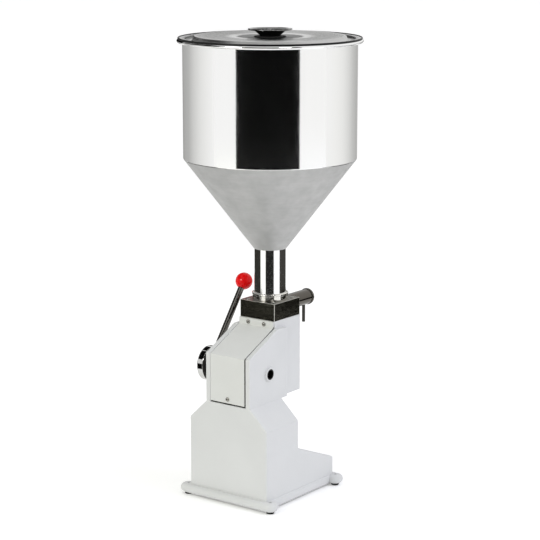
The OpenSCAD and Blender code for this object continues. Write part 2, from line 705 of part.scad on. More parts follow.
// Dose stop: the knob is a captive nut, and the flats keep its screw from turning
module dose_screw() color(satin_c) intersection() {
    rod_z(dose_d, dose_grip_z - dose_tail, dose_top);
    translate([0, 0, (dose_top + dose_grip_z - dose_tail) / 2])
        cube([2 * dose_d, dose_flat_w, dose_top - dose_grip_z + dose_tail], center = true);
}
module dose_knob() color(dark_c) {
    grip_top = dose_grip_z + dose_knob_h;
    difference() {
        union() {
            rod_z(dose_knob_d, dose_grip_z, grip_top);
            rod_z(knob_neck_d, grip_top - over, base_z - slip);
            rod_z(knob_flange_d, base_z - slip - knob_flange_t, base_z - slip);
        }
        rod_z(dose_d + 2 * fit, dose_grip_z - over, base_z);
        for (i = [0 : flutes - 1]) rotate([0, 0, 360 * i / flutes])
            rod_z(flute_d, dose_grip_z - over, grip_top + over, dose_knob_d / 2 + flute_d * flute_in_share);
    }
}
module dose_retainer() color(steel_c) difference() {
    rod_z(retainer_d, base_z - retainer_t, base_z);
    rod_z(knob_flange_d + 2 * slip, base_z - retainer_t + retainer_lip - slip, base_z + over);
    rod_z(knob_neck_d + 2 * slip, base_z - retainer_t - over, base_z);
    for (i = [0 : retainer_screws - 1]) rotate([0, 0, 360 * i / retainer_screws])
        rod_z(m3_shank + 2 * fit, base_z - retainer_t - over, base_z + over, retainer_screw_r);
}
module retainer_screws() color(dark_c) for (i = [0 : retainer_screws - 1])
    rotate([0, 0, 360 * i / retainer_screws]) translate([retainer_screw_r, 0, base_z - retainer_t])
        rotate([180, 0, 0]) pan_screw(m3_shank, m3_head, m3_head_h, retainer_t + floor_t - over);

// Valve block with its chamber, inlet pocket, cylinder pocket and outlet passage
module valve_block() color(dark_c) difference() {
    box_at([-block_half, -block_half, block_z], [block_half, block_half, block_top]);
    rod_z(2 * sleeve_r + 2 * fit, block_z - over, block_z + sleeve_seat);
    rod_z(chamber_d, block_z, block_top);
    rod_z(seat_d, block_top - seat_depth, block_top + over);
    rod_y(passage_d, -block_half, 0, 0, outlet_z);
    rod_y(spigot_d + 2 * fit, -block_half - over, -block_half + outlet_seat, 0, outlet_z);
    four([-block_screw_xy, block_screw_xy], [-block_screw_xy, block_screw_xy])
        rod_z(m4_shank + 2 * fit, block_z - over, block_top + over);
}
module block_screws() color(steel_c) four([-block_screw_xy, block_screw_xy], [-block_screw_xy, block_screw_xy])
    translate([0, 0, block_top]) pan_screw(m4_shank, m4_head, m4_head_h / 2, block_h + pillar_h - over);
seat_top = block_top - seat_depth + gasket_t + seat_t;
seat_z = seat_top - seat_t;
module inlet_gasket() color(rubber_c) ring_z(seat_d - 2 * fit, chamber_d + 2, seat_z - gasket_t, seat_z);
module inlet_seat() color(steel_c) difference() {
    union() {
        ring_z(seat_d - 2 * fit, seat_port_d, seat_z, seat_top);
        for (a = [0, 90]) rotate([0, 0, a]) translate([0, 0, (seat_z + seat_top) / 2])
            cube([seat_port_d + seat_arm_w, seat_arm_w, seat_t], center = true);
        rod_z(seat_hub_d, seat_z, seat_z + seat_hub_h);
    }
    rod_z(stem_d + 2 * fit, seat_z - over, seat_z + seat_hub_h + over);
}
valve_top = seat_z - seat_gap;
stem_top = valve_top + valve_stem_l;
clip_top = stem_top - clip_down;
module inlet_valve() color(steel_c) {
    rod_z(valve_d, valve_top - valve_t, valve_top);
    rod_z(stem_d, valve_top - valve_t, stem_top);
}
module inlet_clip() color(steel_c) ring_z(clip_d, stem_d + 2 * fit, clip_top - clip_t, clip_top);
module inlet_spring() color(satin_c) translate([0, 0, seat_z + seat_hub_h + spring_gap])
    coil(inlet_coil_r, inlet_wire, inlet_turns, clip_top - clip_t - seat_z - seat_hub_h - 2 * spring_gap);

// Outlet: tube, ball valve, spring, end cap and nozzle
out_face = -block_half;
out_end = out_face - outlet_l;
nozzle_y = out_end + nozzle_in;
nozzle_spigot_d = (nozzle_d + nozzle_bore) / 2;
ball_y = out_face + outlet_seat - sqrt(pow(out_ball_d / 2, 2) - pow(passage_d / 2, 2)) - seat_gap;
module outlet_tube() color(steel_c) difference() {
    union() {
        rod_y(outlet_d, out_end, out_face, 0, outlet_z);
        rod_y(spigot_d, out_face - over, out_face + outlet_seat - seat_gap, 0, outlet_z);
    }
    rod_y(outlet_bore, out_end - over, out_face + outlet_seat + over, 0, outlet_z);
    rod_z(nozzle_spigot_d + 2 * fit, outlet_z - outlet_d, outlet_z, 0, nozzle_y);
}
module outlet_ball() color(steel_c) translate([0, ball_y, outlet_z]) sphere(d = out_ball_d);
spring_touch = (out_ball_d + outlet_wire) / 2 + spring_gap;
spring_back_y = ball_y + outlet_wire / 2 - sqrt(spring_touch * spring_touch - outlet_coil_r * outlet_coil_r);
spring_front_y = out_end + outcap_plug_l + spring_gap;
module outlet_spring() color(satin_c) translate([0, spring_back_y, outlet_z]) rotate([90, 0, 0])
    coil(outlet_coil_r, outlet_wire, outlet_turns, spring_back_y - spring_front_y);
module outlet_end_cap() color(steel_c) {
    rod_y(outcap_d, out_end - seal_t - outcap_t, out_end - seal_t, 0, outlet_z);
    rod_y(outlet_bore - 2 * fit, out_end - seal_t - over, out_end + outcap_plug_l, 0, outlet_z);
}
module outlet_seal() color(rubber_c) difference() {
    rod_y(outlet_d - over, out_end - seal_t, out_end, 0, outlet_z);
    rod_y(outlet_bore, out_end - seal_t - over, out_end + over, 0, outlet_z);
}
module nozzle() color(dark_c) translate([0, nozzle_y, 0]) difference() {
    union() {
        rod_z(nozzle_d, outlet_z - outlet_d / 2 - nozzle_l, outlet_z - outlet_d / 2 - nozzle_relief);
        rod_z(nozzle_spigot_d, outlet_z - outlet_d / 2 - nozzle_l, outlet_z - outlet_bore / 2 - seat_gap);
    }
    rod_z(nozzle_bore, outlet_z - outlet_d / 2 - nozzle_l - over, outlet_z);
}

// Hopper
module neck_lock_ring() color(steel_c) {
    inner = neck_d / 2 + fit;
    outer = lockring_d / 2;
    top = block_top + lockring_h;
    rotate_extrude() polygon(concat([[inner, block_top], [outer, block_top]],
        [for (a = [0 : 15 : 90]) [outer - lockring_round * (1 - cos(a)), top - lockring_round * (1 - sin(a))]],
        [[inner, top]]));
}
module hopper_neck() color(steel_c)
    ring_z(neck_d, neck_d - 2 * neck_wall, seat_top, cone_z + neck_lap);
module hopper_cone() color(satin_c) rotate_extrude() polygon([
    [neck_d / 2 + fit, cone_z], [neck_d / 2 + fit + cone_wall_x, cone_z], [hopper_d / 2, seam_z],
    [hopper_d / 2 - hopper_wall, seam_z], [neck_d / 2 + fit + cone_wall_x * neck_lap / cone_h, cone_z + neck_lap]]);
module hopper_barrel() color(steel_c) rotate_extrude() {
    translate([hopper_d / 2 - hopper_wall, seam_z]) square([hopper_wall, barrel_h + bead_d / 2]);
    translate([hopper_d / 2 - hopper_wall, rim_z + bead_d / 2 - hopper_wall])
        square([rim_out + hopper_wall - bead_d / 2, hopper_wall]);
    translate([bead_r, rim_z]) circle(d = bead_d);
}

// Lid: pressed sheet with a hemmed edge, a channel that drops inside the barrel and a raised ring
module lid_shell() color(steel_c) {
    edge = rim_r - lid_in;
    wall = hopper_d / 2 - hopper_wall - lid_fit;
    foot = wall - lid_channel_w;
    ridge = edge * lid_ridge_share;
    low = lid_z - lid_channel;
    high = lid_z + lid_rise;
    difference() {
        rotate_extrude() polygon([[0, lid_centre_z - lid_t], [ridge - lid_step_w, lid_centre_z - lid_t],
            [ridge, high - lid_t + lid_t], [foot - lid_step_w, high - lid_t + lid_t], [foot, low], [wall, low],
            [wall, lid_z], [edge, lid_z], [edge, lid_z + lid_hem_t], [edge - lid_hem_w, lid_z + lid_hem_t],
            [edge - lid_hem_w - lid_t, lid_z + lid_t], [wall - lid_t, lid_z + lid_t], [wall - lid_t, low + lid_t],
            [foot + lid_t, low + lid_t], [foot + lid_t - lid_step_w, high + lid_t], [ridge + lid_t, high + lid_t],
            [ridge - lid_step_w, lid_centre_z], [0, lid_centre_z]]);
        rod_z(m4_shank + 2 * fit, low, high + over);
    }
}
module lid_washer() color(rubber_c) ring_z(washer_d, m4_shank + 2 * fit, lid_centre_z, lid_centre_z + washer_t);
module lid_knob() color(steel_c) {
    dish_z = knob_z + lid_knob_h - dish_t;
    difference() {
        rotate_extrude() polygon([[0, knob_z], [waist_bottom_d / 2, knob_z], [waist_top_d / 2, dish_z],
            [lid_knob_d / 2 - dish_t / 2, dish_z], [lid_knob_d / 2, dish_z + dish_t / 2],
            [lid_knob_d / 2 - dish_t / 4, dish_z + dish_t], [lid_knob_d / 2 - dish_rim, dish_z + dish_t],
            [lid_knob_d / 2 - 2 * dish_rim, dish_z + dish_t - dish_depth], [0, dish_z + dish_t - dish_depth]]);
        rod_z(m4_shank + 2 * fit, knob_z - over, knob_z + knob_screw_l - lid_t - washer_t);
    }
}
module lid_knob_screw() color(dark_c) translate([0, 0, lid_centre_z - lid_t]) rotate([180, 0, 0])
    pan_screw(m4_shank, m4_head, m4_head_h, knob_screw_l - seat_gap);

base_casting();
rubber_feet();
foot_screws();
gear_housing();
housing_bolts();
rear_cover();
cover_screws();
shaft_bush_left();
shaft_bush_right();
cross_shaft();
shaft_spacers();
pinion();
pinion_key();
lever_hub();
hub_grub_screw();
lever_rod();
lever_ball();
rack();
rack_screws();
crosshead();
piston_rod();
piston_rod_nut();
piston();
piston_seals();
cylinder_sleeve();
sleeve_gasket();
dose_screw();
dose_knob();
dose_retainer();
retainer_screws();
valve_block();
block_screws();
inlet_seat();
inlet_gasket();
inlet_valve();
inlet_clip();
inlet_spring();
outlet_tube();
outlet_ball();
outlet_spring();
outlet_end_cap();
outlet_seal();
nozzle();
neck_lock_ring();
hopper_neck();
hopper_cone();
hopper_barrel();
lid_shell();
lid_washer();
lid_knob();
lid_knob_screw();
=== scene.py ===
# Manual cream filling machine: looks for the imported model, in metres, in the model's own frame.
import json
import math

import bmesh
import bpy
from mathutils import Matrix, Vector


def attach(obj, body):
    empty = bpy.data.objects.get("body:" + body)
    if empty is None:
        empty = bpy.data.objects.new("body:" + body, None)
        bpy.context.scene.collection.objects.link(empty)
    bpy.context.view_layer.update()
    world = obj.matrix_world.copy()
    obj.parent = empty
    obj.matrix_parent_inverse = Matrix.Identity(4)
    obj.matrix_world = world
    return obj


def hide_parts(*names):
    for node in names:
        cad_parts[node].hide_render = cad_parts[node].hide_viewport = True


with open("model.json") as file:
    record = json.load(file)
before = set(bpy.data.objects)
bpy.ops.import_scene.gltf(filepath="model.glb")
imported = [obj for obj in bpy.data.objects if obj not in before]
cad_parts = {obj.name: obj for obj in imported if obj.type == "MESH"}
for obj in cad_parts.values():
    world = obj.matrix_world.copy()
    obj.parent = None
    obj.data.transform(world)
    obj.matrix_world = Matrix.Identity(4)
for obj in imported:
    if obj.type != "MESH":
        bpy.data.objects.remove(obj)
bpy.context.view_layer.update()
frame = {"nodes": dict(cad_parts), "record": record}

MM = 0.001  # one millimetre in metres
SHARP = math.radians(38)  # edges that turn more than this shade as edges
NOISE_LOW, NOISE_HIGH = 0.3, 0.7  # nearly all of a noise lies between these
WHITE = (1.0, 1.0, 1.0, 1.0)


# Tools for shaders
def linear(hex_colour):
    """An sRGB hex colour as a linear RGBA colour."""
    parts = [int(hex_colour[i:i + 2], 16) / 255 for i in (1, 3, 5)]
    return tuple(c / 12.92 if c <= 0.04045 else ((c + 0.055) / 1.055) ** 2.4 for c in parts) + (1.0,)


def add(tree, kind, links=(), **settings):
    """Add a shader node: settings are its properties or, by socket name, its input values."""
    made = tree.nodes.new(kind)
    for name, value in settings.items():
        if hasattr(made, name):
            setattr(made, name, value)
        else:
            made.inputs[name.replace("_", " ")].default_value = value
    for socket, source in links:
        tree.links.new(source, made.inputs[socket])
    return made


def surface(name, colour, rough, metallic=0.0, **extra):
    """A material with one Principled shader. Returns the material, its tree and the shader."""
    mat = bpy.data.materials.new(name)
    mat.use_nodes = True
    tree = mat.node_tree
    shader = tree.nodes["Principled BSDF"]
    shader.inputs["Base Color"].default_value = linear(colour)
    shader.inputs["Roughness"].default_value = rough
    shader.inputs["Metallic"].default_value = metallic
    for socket, value in extra.items():
        shader.inputs[socket.replace("_", " ")].default_value = value
    mat.diffuse_color = linear(colour)
    return mat, tree, shader


def grain(tree, feature_mm, stretch=(1, 1, 1), detail=3.0):
    """Noise whose features measure feature_mm, longer along an axis whose stretch is over 1."""
    coords = add(tree, "ShaderNodeTexCoord")
    size = [1 / (feature_mm * MM * s) for s in stretch]
    scaled = add(tree, "ShaderNodeMapping", [("Vector", coords.outputs["Object"])], Scale=size)
    return add(tree, "ShaderNodeTexNoise", [("Vector", scaled.outputs["Vector"])], Scale=1.0, Detail=detail)


def rings_grain(tree, feature_mm):
    """Noise in rings round the Z axis, for sheet that was polished while it turned."""
    coords = add(tree, "ShaderNodeTexCoord")
    flat = add(tree, "ShaderNodeVectorMath", [("Vector", coords.outputs["Object"])], operation="MULTIPLY")
    flat.inputs[1].default_value = (1, 1, 0)
    reach = add(tree, "ShaderNodeVectorMath", [("Vector", flat.outputs[0])], operation="LENGTH")
    radius = add(tree, "ShaderNodeCombineXYZ", [("X", reach.outputs["Value"])])
    return add(tree, "ShaderNodeTexNoise", [("Vector", radius.outputs[0])],
               Scale=1 / (feature_mm * MM), Detail=4.0)


def relief(tree, shader, noise, depth_mm, strength=1.0):
    """Turn a noise into small relief on the shader's normal."""
    bump = add(tree, "ShaderNodeBump", [("Height", noise.outputs["Fac"])],
               Distance=depth_mm * MM, Strength=strength)
    tree.links.new(bump.outputs["Normal"], shader.inputs["Normal"])


def spread(tree, noise, socket, low, high):
    """Drive a number socket between two values by a noise."""
    scaled = add(tree, "ShaderNodeMapRange", [("Value", noise.outputs["Fac"])],
                 From_Min=NOISE_LOW, From_Max=NOISE_HIGH, To_Min=low, To_Max=high)
    tree.links.new(scaled.outputs["Result"], socket)


def grade_colour(tree, value, socket, stops):
    """Grade a colour socket by a value: stops are (value, hex colour), in rising order."""
    ramp = add(tree, "ShaderNodeValToRGB", [("Fac", value)])
    band = ramp.color_ramp.elements
    while len(band) < len(stops):
        band.new(0.5)
    for element, (spot, colour) in zip(band, stops):
        element.position = spot
        element.color = linear(colour)
    tree.links.new(ramp.outputs["Color"], socket)


def tint(tree, noise, shader, dark, light):
    """Vary the base colour between two hex colours by a noise."""
    stops = [(NOISE_LOW, dark), (NOISE_HIGH, light)]
    grade_colour(tree, noise.outputs["Fac"], shader.inputs["Base Color"], stops)


# Materials
def white_powder_coat():
    """White powder coat on a casting: soft sheen, and 1.6 mm orange peel that breaks its highlights."""
    mat, tree, shader = surface("white_powder_coat", "#DCDDDE", 0.34, Coat_Weight=0.15, Coat_Roughness=0.2)
    relief(tree, shader, grain(tree, 1.6), 0.035, 0.5)
    tint(tree, grain(tree, 60.0), shader, "#DADBDC", "#DEDFE0")
    spread(tree, grain(tree, 25.0), shader.inputs["Roughness"], 0.3, 0.4)
    return mat


def white_sheet_coat():
    """White powder coat on bent sheet: flatter, warmer and with finer orange peel than the casting's."""
    mat, tree, shader = surface("white_sheet_coat", "#DEDFDE", 0.36, Coat_Weight=0.15, Coat_Roughness=0.2)
    relief(tree, shader, grain(tree, 1.2), 0.02, 0.5)
    tint(tree, grain(tree, 45.0), shader, "#DDDEDD", "#E0E1E0")
    return mat


def mirror_steel():
    """Mirror-polished stainless sheet: sharp reflections with the haze of upright polishing marks.

    The marks are drawn 0.5 mm wide, coarser than real ones, so that they show."""
    mat, tree, shader = surface("mirror_polished_steel", "#F2F2F1", 0.07, 1.0)
    marks = grain(tree, 0.5, (1, 1, 120))
    relief(tree, shader, marks, 0.0015, 0.35)
    spread(tree, marks, shader.inputs["Roughness"], 0.04, 0.12)
    return mat


def satin_steel():
    """Satin stainless sheet: brushed round the axis, so light spreads into a soft grey gradient.

    The brush marks are drawn 0.35 mm wide, coarser than real ones, so that they show."""
    mat, tree, shader = surface("satin_brushed_steel", "#B8B8B7", 0.5, 1.0)
    marks = grain(tree, 0.35, (60, 60, 1))
    relief(tree, shader, marks, 0.006, 0.4)
    spread(tree, grain(tree, 3.0, (6, 6, 1)), shader.inputs["Roughness"], 0.46, 0.56)
    tint(tree, grain(tree, 18.0), shader, "#B2B2B1", "#BDBDBC")
    return mat


LID_REACH_MM = 140
# painted reflection: greys for the lid's base colour, in rings by distance from the middle
LID_PAINTED_REFLECTION_GREYS = [
    (0.03, "#C4C4C3"), (0.1, "#6E6E6D"), (0.17, "#C8C8C7"), (0.23, "#9E9E9D"), (0.3, "#8E8E8D"),
    (0.5, "#8A8A89"), (0.58, "#C6C6C5"), (0.63, "#D0D0CF"), (0.66, "#424241"), (0.8, "#3E3E3D")]


def lid_steel():
    """Spun and polished lid sheet: fine rings round the middle that shimmer in fans.

    The rings are drawn 0.7 mm wide, coarser than real ones, so that they show.
    Its base colour is graded in rings, a painted reflection of the darker and brighter parts of the studio
    that its channel and its rise mirror, darkest round the knob.
    The places in LID_PAINTED_REFLECTION_GREYS run from 0 at LID_REACH_MM from the middle to 1 in the middle."""
    mat, tree, shader = surface("spun_lid_steel", "#C2C2C1", 0.26, 1.0, Anisotropic=0.85)
    rings = rings_grain(tree, 0.7)
    relief(tree, shader, rings, 0.003, 0.4)
    spread(tree, rings, shader.inputs["Roughness"], 0.22, 0.34)
    coords = add(tree, "ShaderNodeTexCoord")
    size = 1 / (LID_REACH_MM * MM)
    flat = add(tree, "ShaderNodeMapping", [("Vector", coords.outputs["Object"])], Scale=(size, size, 0))
    reach = add(tree, "ShaderNodeTexGradient", [("Vector", flat.outputs["Vector"])],
                gradient_type="SPHERICAL")
    # painted reflection: the base colour is graded in rings by distance from the middle
    grade_colour(tree, reach.outputs["Fac"], shader.inputs["Base Color"], LID_PAINTED_REFLECTION_GREYS)
    round_axis = add(tree, "ShaderNodeTangent", direction_type="RADIAL", axis="Z")
    tree.links.new(round_axis.outputs["Tangent"], shader.inputs["Tangent"])
    return mat


def painted_shade_hem():
    """Painted shade: the lid's folded edge is coloured near-black for the shade in its fold, so it shows as a
    black line round the lid.
    """
    mat, tree, shader = surface("painted_shade_hem_steel", "#161616", 0.4, 0.6)
    tint(tree, grain(tree, 5.0), shader, "#131313", "#1B1B1B")
    return mat


def block_top_steel():
    """The block's milled upper face: duller than its sides, so it blurs the collar and the ball."""
    mat, tree, shader = surface("milled_block_steel", "#6F6C66", 0.38, 1.0)
    tint(tree, grain(tree, 2.0, (1, 5, 1), 6.0), shader, "#5F5C56", "#87847D")
    return mat


def block_steel():
    """Polished stainless block: dark reflections crossed by fine handling scratches.

    The scratches are drawn 0.8 mm wide, coarser than real ones, so that they show."""
    mat, tree, shader = surface("polished_block_steel", "#625F57", 0.18, 1.0)
    scratches = grain(tree, 0.8, (1, 9, 2), 6.0)
    relief(tree, shader, scratches, 0.003, 0.35)
    spread(tree, grain(tree, 2.0, (3, 3, 1), 5.0), shader.inputs["Roughness"], 0.12, 0.24)
    tint(tree, grain(tree, 1.6, (2, 2, 1), 8.0), shader, "#565449", "#6E6C62")
    return mat


def painted_highlight_edge():
    """Painted highlight on the block's rounded edges: a pale metal that stands in for the light they catch
    along their length.
    """
    mat, tree, shader = surface("painted_highlight_edge_steel", "#D2D0CA", 0.55, 0.8)
    tint(tree, grain(tree, 3.0), shader, "#BDBBB5", "#DEDCD6")
    return mat


def collar_steel():
    """Turned steel collar: lathe marks, drawn coarse at 0.4 mm, blur what it mirrors along its height."""
    mat, tree, shader = surface("turned_collar_steel", "#E2E0DA", 0.1, 1.0)
    relief(tree, shader, grain(tree, 0.4, (40, 40, 1)), 0.002, 0.4)
    spread(tree, grain(tree, 2.0, (1, 1, 4)), shader.inputs["Roughness"], 0.07, 0.14)
    return mat


def chrome(name, colour, rough=0.06):
    """Bright chrome plate: hard mirror reflections, a touch uneven from the turned bar under it."""
    mat, tree, shader = surface(name, colour, rough, 1.0)
    spread(tree, grain(tree, 4.0), shader.inputs["Roughness"], rough * 0.8, rough * 1.25)
    return mat


def red_ball():
    """Moulded red phenolic: deep colour under a hard gloss."""
    mat, tree, shader = surface("moulded_red_gloss", "#E4080B", 0.2, Specular_IOR_Level=0.22)
    tint(tree, grain(tree, 14.0, detail=1.0), shader, "#EA080B", "#EE0A0D")
    return mat


def zinc_steel():
    """Zinc-plated screws: pale, slightly mottled metal."""
    mat, tree, shader = surface("zinc_plated_steel", "#B4B3AE", 0.28, 1.0)
    tint(tree, grain(tree, 1.2), shader, "#A9A8A2", "#C2C1BC")
    return mat


def ground_steel():
    """Ground machine steel: a soft grey shine with fine cross marks, drawn coarse at 0.3 mm."""
    mat, tree, shader = surface("ground_steel", "#A6A6A6", 0.3, 1.0)
    relief(tree, shader, grain(tree, 0.3, (1, 1, 20)), 0.002, 0.4)
    return mat


def bronze():
    """Turned bearing bronze: warm metal with lathe marks, drawn coarse at 0.3 mm."""
    mat, tree, shader = surface("turned_bronze", "#B98F4E", 0.32, 1.0)
    relief(tree, shader, grain(tree, 0.3, (20, 1, 20)), 0.002, 0.4)
    return mat


def black_rubber():
    """Moulded black rubber: dull, with a fine dusty mottle."""
    mat, tree, shader = surface("moulded_black_rubber", "#1B1B1B", 0.75)
    tint(tree, grain(tree, 0.8), shader, "#171717", "#222222")
    return mat


def black_plastic():
    """Matte black moulded plastic: a dull skin with a spark-eroded texture, drawn coarse at 0.35 mm."""
    mat, tree, shader = surface("matte_black_plastic", "#202021", 0.5)
    relief(tree, shader, grain(tree, 0.35), 0.01, 0.4)
    return mat


def black_oxide():
    """Black-oxide screw steel: dark metal with an oily sheen."""
    mat, tree, shader = surface("black_oxide_steel", "#2A2A2B", 0.35, 0.9)
    tint(tree, grain(tree, 0.9), shader, "#232324", "#323233")
    return mat


def painted_gap_shade():
    """Painted shade: the cover's edge and the strips beside it are coloured near-black for the gap's shade,
    so they show as thin black lines.
    """
    return surface("painted_gap_shade", "#101010", 0.9)[0]


PAINT = white_powder_coat()
COVER = white_sheet_coat()
MIRROR = mirror_steel()
SATIN = satin_steel()
LID = lid_steel()
BLOCK = block_steel()
CHROME = chrome("bright_chrome", "#C9C9C7")  # the hub's disc, pale with crisp bands
BAR = chrome("dark_chromed_bar", "#7C7974", 0.13)  # the rod, greyer and a little blurred
HUB_NECK_PAINTED_SHADE = chrome("hub_neck_painted_shade", "#3A3937")  # painted shade: the hub's neck is coloured dark beside the housing
PIPE = chrome("turned_outlet_steel", "#5C5852")  # the outlet, dark with bright lines along it
THIN_PIPE = chrome("drawn_nozzle_steel", "#45433F", 0.15)  # the nozzle, darker and blurred
NECK = chrome("polished_neck_steel", "#F0F0F0", 0.07)  # the hopper's neck, a near-white mirror
COLLAR = collar_steel()
PAINTED_HIGHLIGHT_EDGE = painted_highlight_edge()
PAINTED_SHADE_HEM = painted_shade_hem()
BLOCK_TOP = block_top_steel()
KNOB = chrome("turned_knob_steel", "#868685")  # the lid's knob, mid grey
RED = red_ball()
ZINC = zinc_steel()
STEEL = ground_steel()
BRONZE = bronze()
RUBBER = black_rubber()
PLASTIC = black_plastic()
OXIDE = black_oxide()
PAINTED_GAP_SHADE = painted_gap_shade()
SCREW = chrome("dark_plated_screw", "#A09E97")  # the cover's screws, small dark glints

SLOT_LOOKS = {
    "white_paint": PAINT, "cover_paint": COVER, "rubber": RUBBER, "seal_rubber": RUBBER, "zinc_steel": ZINC,
    "black_steel": OXIDE, "ground_steel": STEEL, "spring_steel": STEEL, "bronze": BRONZE,
    "satin_stainless": SATIN, "polished_stainless": MIRROR, "block_stainless": BLOCK, "chrome": CHROME,
    "dark_chrome": BAR, "red_phenolic": RED, "black_plastic": PLASTIC,
}
SLOT_OF = {s["node"]: s["material_slot"] for s in frame["record"]["subparts"]}
BODY_OF = {n: body for body, nodes in frame["record"]["behaviour"]["bodies"].items() for n in nodes}

BORE_PAINTED_SHADE_PARTS = ("shaft_bush_left", "cross_shaft")  # painted shade: given the black-oxide look so that their ends show dark in the cheek's boss

for node, obj in frame["nodes"].items():
    look = OXIDE if node in BORE_PAINTED_SHADE_PARTS else SLOT_LOOKS[SLOT_OF[node]]
    for held in obj.material_slots:
        held.material = look


# Tools for pieces
def place(mesh, name, node, look):
    """Make an object of a mesh that stands for a CAD node and rides on that node's body."""
    mesh.materials.clear()
    mesh.materials.append(look)
    mesh.shade_smooth()
    mesh.set_sharp_from_angle(angle=SHARP)
    obj = bpy.data.objects.new(name, mesh)
    bpy.context.scene.collection.objects.link(obj)
    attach(obj, BODY_OF[node])
    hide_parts(node)
    return obj


def rounded(points, steps=6):
    """Points (radius, height, corner radius) in mm, with each corner that has one turned to an arc."""
    made = []
    for i, point in enumerate(points):
        here = Vector(point[:2])
        bend = point[2] if len(point) > 2 else 0
        if not bend or i in (0, len(points) - 1):
            made.append(here)
            continue
        to_last = (Vector(points[i - 1][:2]) - here).normalized()
        to_next = (Vector(points[i + 1][:2]) - here).normalized()
        half = to_last.angle(to_next) / 2
        centre = here + (to_last + to_next).normalized() * (bend / math.sin(half))
        first = here + to_last * (bend / math.tan(half)) - centre
        last = here + to_next * (bend / math.tan(half)) - centre
        for k in range(steps + 1):
            made.append(centre + first.normalized().slerp(last.normalized(), k / steps) * bend)
    return made


def arc(centre, radius, start, end, steps):
    """Points along an arc, angles in degrees."""
    turns = [math.radians(start + (end - start) * k / steps) for k in range(steps + 1)]
    return [Vector((centre[0] + radius * math.cos(t), centre[1] + radius * math.sin(t))) for t in turns]


HOLD = 0.12  # how near a straight run's ends its shading is held, in mm
ON_AXIS = 1e-6  # a profile's point nearer to the axis than this, in mm, is one vertex


def held_flat(points, closed):
    """Add a point close to both ends of each run over 1 mm, so that its shading stays flat up to them."""
    made = []
    runs = list(zip(points, points[1:])) + ([(points[-1], points[0])] if closed else [])
    for start, end in runs:
        made.append(start)
        length = (end - start).length
        if length > 1:
            made += [start.lerp(end, HOLD / length), end.lerp(start, HOLD / length)]
    return made if closed else made + [points[-1]]


def lathe(name, node, look, points, turn=Matrix.Identity(4), segments=144, closed=False):
    """Turn a profile in mm round Z, then move it by a matrix in metres. A closed profile is a ring's."""
    bm = bmesh.new()
    rows = []
    for p in held_flat(points, closed):
        if p[0] < ON_AXIS:
            rows.append([bm.verts.new((0, 0, p[1] * MM))])
            continue
        rows.append([bm.verts.new((p[0] * MM * math.cos(2 * math.pi * k / segments),
                                   p[0] * MM * math.sin(2 * math.pi * k / segments), p[1] * MM))
                     for k in range(segments)])
    pairs = list(zip(rows, rows[1:])) + ([(rows[-1], rows[0])] if closed else [])
    for low, high in pairs:
        for k in range(segments):
            j = (k + 1) % segments
            ring = [low[k % len(low)], low[j % len(low)], high[j % len(high)], high[k % len(high)]]
            ring = [v for i, v in enumerate(ring) if v not in ring[:i]]
            if len(ring) > 2:
                bm.faces.new(ring)
    bmesh.ops.recalc_face_normals(bm, faces=bm.faces)
    bm.transform(turn)
    mesh = bpy.data.meshes.new(name)
    bm.to_mesh(mesh)
    bm.free()
    return place(mesh, name, node, look)


def along(axis, foot):
    """A matrix that lays a turned piece's Z along an axis, its foot at a place in mm."""
    turn = Vector((0, 0, 1)).rotation_difference(Vector(axis))
    return Matrix.Translation(Vector(foot) * MM) @ turn.to_matrix().to_4x4()


WELD = 2e-6  # points closer than this, in metres, are one
ON_LEVEL = 2e-5  # points nearer to a level than this, in metres, are on it
FLAT = math.radians(0.6)  # facets that turn less than this are one face
CORNER = math.radians(24)  # an edge has to turn this much to be rounded


def cad_copy(node, name, look, groups=(), steps=4, edge_look=None):
    """Copy a CAD node's mesh, join its flat facets and round the edges that each group picks.

    A group is (radius in mm, test), and the test gets an edge's middle, in mm, and its direction."""
    bm = bmesh.new()
    bm.from_mesh(frame["nodes"][node].data)
    bmesh.ops.remove_doubles(bm, verts=bm.verts, dist=WELD)
    bmesh.ops.dissolve_limit(bm, angle_limit=FLAT, verts=bm.verts, edges=bm.edges)
    weight = bm.edges.layers.float.new("bevel_weight_edge")
    widest = max([g[0] for g in groups], default=0)
    for edge in bm.edges:
        if len(edge.link_faces) != 2 or edge.calc_face_angle(0) < CORNER:
            continue
        middle = (edge.verts[0].co + edge.verts[1].co) / 2 / MM
        run = (edge.verts[1].co - edge.verts[0].co).normalized()
        for radius, test in groups:
            if test(middle, run):
                edge[weight] = radius / widest
                break
    mesh = bpy.data.meshes.new(name)
    bm.to_mesh(mesh)
    bm.free()
    obj = place(mesh, name, node, look)
    if widest:
        bevel = obj.modifiers.new("rounded_edges", "BEVEL")
        bevel.limit_method = "WEIGHT"
        bevel.width = widest * MM
        bevel.segments = steps
        bevel.use_clamp_overlap = False
        if edge_look:
            mesh.materials.append(edge_look)
            bevel.material = len(mesh.materials) - 1
        normals = obj.modifiers.new("even_normals", "WEIGHTED_NORMAL")
        normals.keep_sharp = True
    return obj


